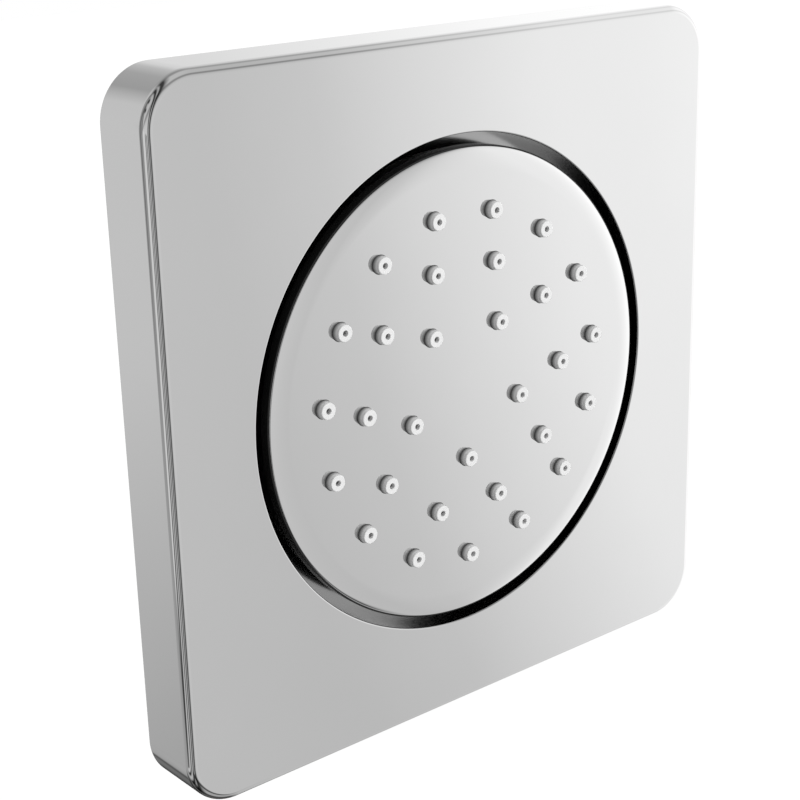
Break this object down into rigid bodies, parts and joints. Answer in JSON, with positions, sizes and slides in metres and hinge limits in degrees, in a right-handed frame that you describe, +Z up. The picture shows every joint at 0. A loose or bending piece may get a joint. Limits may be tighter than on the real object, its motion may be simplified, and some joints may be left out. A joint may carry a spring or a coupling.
{
  "type": "shower body jet",
  "caption": "Square chrome wall body jet with rounded corners and a round, ball-jointed spray head of white silicone nozzles, fed by a threaded inlet behind the wall.",
  "frame": {"origin": "centre of the square plate on the wall plane, midway between the wall screw holes", "axes": "+X to the right seen from the front, +Z up, +Y into the wall, so the spray face looks along -Y"},
  "size_m": [0.13, 0.0645, 0.13],
  "materials": {
    "plate_chrome": "polished chrome plate",
    "face_chrome": "polished chrome plate",
    "ball_chrome": "polished chrome on brass",
    "black_rubber": "matt black rubber",
    "black_plastic": "glossy black plastic",
    "white_silicone": "soft white silicone",
    "bracket_steel": "stamped stainless sheet",
    "spring_steel": "bright stainless steel",
    "cast_brass": "machined brass",
    "grey_plastic": "moulded grey plastic",
    "white_plastic": "moulded white plastic",
    "green_plastic": "moulded green plastic"
  },
  "bodies": {
    "wall_unit": {"escutcheon": "plate_chrome", "wall_gasket": "black_rubber", "inlet_gasket": "black_rubber", "stem_o_ring": "black_rubber", "regulator_o_ring": "black_rubber", "wall_bracket": "bracket_steel", "escutcheon_clips": "spring_steel", "clip_rivets": "spring_steel", "inlet_screws": "spring_steel", "filter_screen": "spring_steel", "inlet_cup": "cast_brass", "inlet_stub": "cast_brass", "stub_nut": "cast_brass", "ball_stem": "ball_chrome", "flow_regulator": "green_plastic"},
    "pan_seat": {"ball_seat_rear": "white_plastic"},
    "tilt_seat": {"ball_seat_front": "white_plastic"},
    "spray_head": {"spray_face": "face_chrome", "face_carrier": "black_plastic", "nozzle_mat": "white_silicone", "nozzle_backing": "grey_plastic", "chamber_cover": "grey_plastic", "chamber_o_ring": "black_rubber", "diffuser": "white_plastic", "ball_seal": "black_rubber", "socket_nut": "cast_brass"}
  },
  "joints": [
    {"name": "head_pan", "type": "hinge", "parent": "wall_unit", "child": "pan_seat", "pos_m": [0, 0.006, 0], "axis": [0, 0, 1], "range_deg": [-3.5, 3.5]},
    {"name": "head_tilt", "type": "hinge", "parent": "pan_seat", "child": "tilt_seat", "pos_m": [0, 0.006, 0], "axis": [1, 0, 0], "range_deg": [-3.5, 3.5]},
    {"name": "head_spin", "type": "hinge", "parent": "tilt_seat", "child": "spray_head", "pos_m": [0, 0.006, 0], "axis": [0, -1, 0], "continuous": true}
  ]
}
